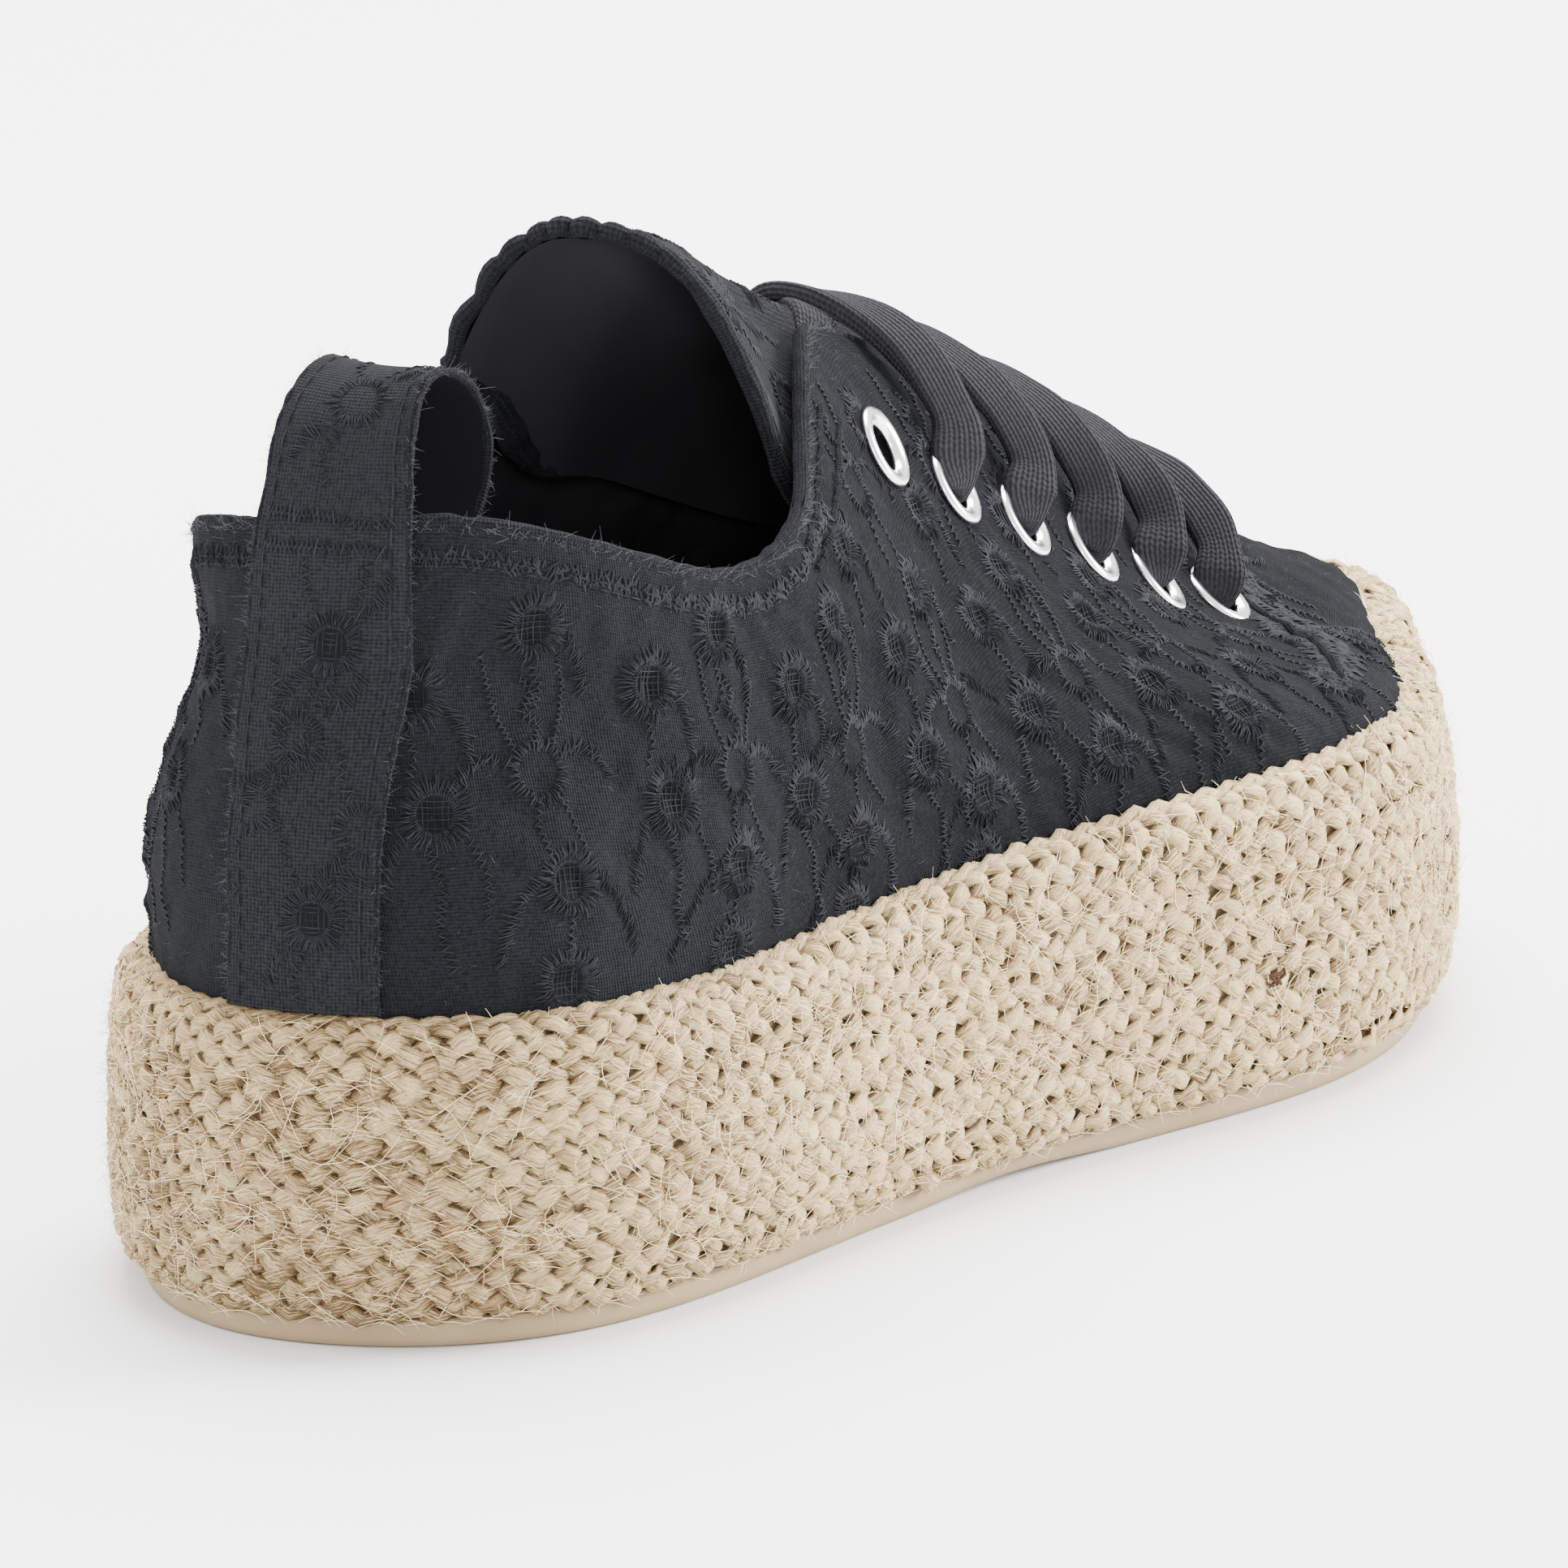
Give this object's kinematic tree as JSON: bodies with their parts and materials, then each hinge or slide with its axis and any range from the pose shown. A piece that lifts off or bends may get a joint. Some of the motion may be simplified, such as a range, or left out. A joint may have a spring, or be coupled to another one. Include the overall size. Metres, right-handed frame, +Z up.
{
  "type": "lace-up sneaker with a braided jute platform",
  "caption": "Black eyelet-embroidered cotton low sneaker, right foot, on a thick braided jute platform with a heel pull loop and crossed flat laces.",
  "frame": {"origin": "on the floor under the middle of the shoe's length and width", "axes": "+X to the toe, +Y to the inner side of the foot, +Z up"},
  "size_m": [0.268, 0.1018, 0.1172],
  "materials": {
    "outsole_rubber": "matte tan",
    "jute_braid": "coarse braided natural fibre",
    "insole_cloth": "matte black cloth",
    "black_cotton": "matte embroidered cotton",
    "black_lace": "ribbed knit",
    "silver_metal": "polished silver"
  },
  "bodies": {
    "root": {"outsole": "outsole_rubber", "jute_platform": "jute_braid", "insole": "insole_cloth", "upper": "black_cotton", "tongue": "black_cotton", "pull_loop": "black_cotton", "eyelet_outer_1": "silver_metal", "eyelet_outer_2": "silver_metal", "eyelet_outer_3": "silver_metal", "eyelet_outer_4": "silver_metal", "eyelet_outer_5": "silver_metal", "eyelet_outer_6": "silver_metal", "eyelet_inner_1": "silver_metal", "eyelet_inner_2": "silver_metal", "eyelet_inner_3": "silver_metal", "eyelet_inner_4": "silver_metal", "eyelet_inner_5": "silver_metal", "eyelet_inner_6": "silver_metal", "lace_crossing_1": "black_lace", "lace_crossing_2": "black_lace", "lace_crossing_3": "black_lace", "lace_crossing_4": "black_lace", "lace_crossing_5": "black_lace"}
  },
  "joints": []
}
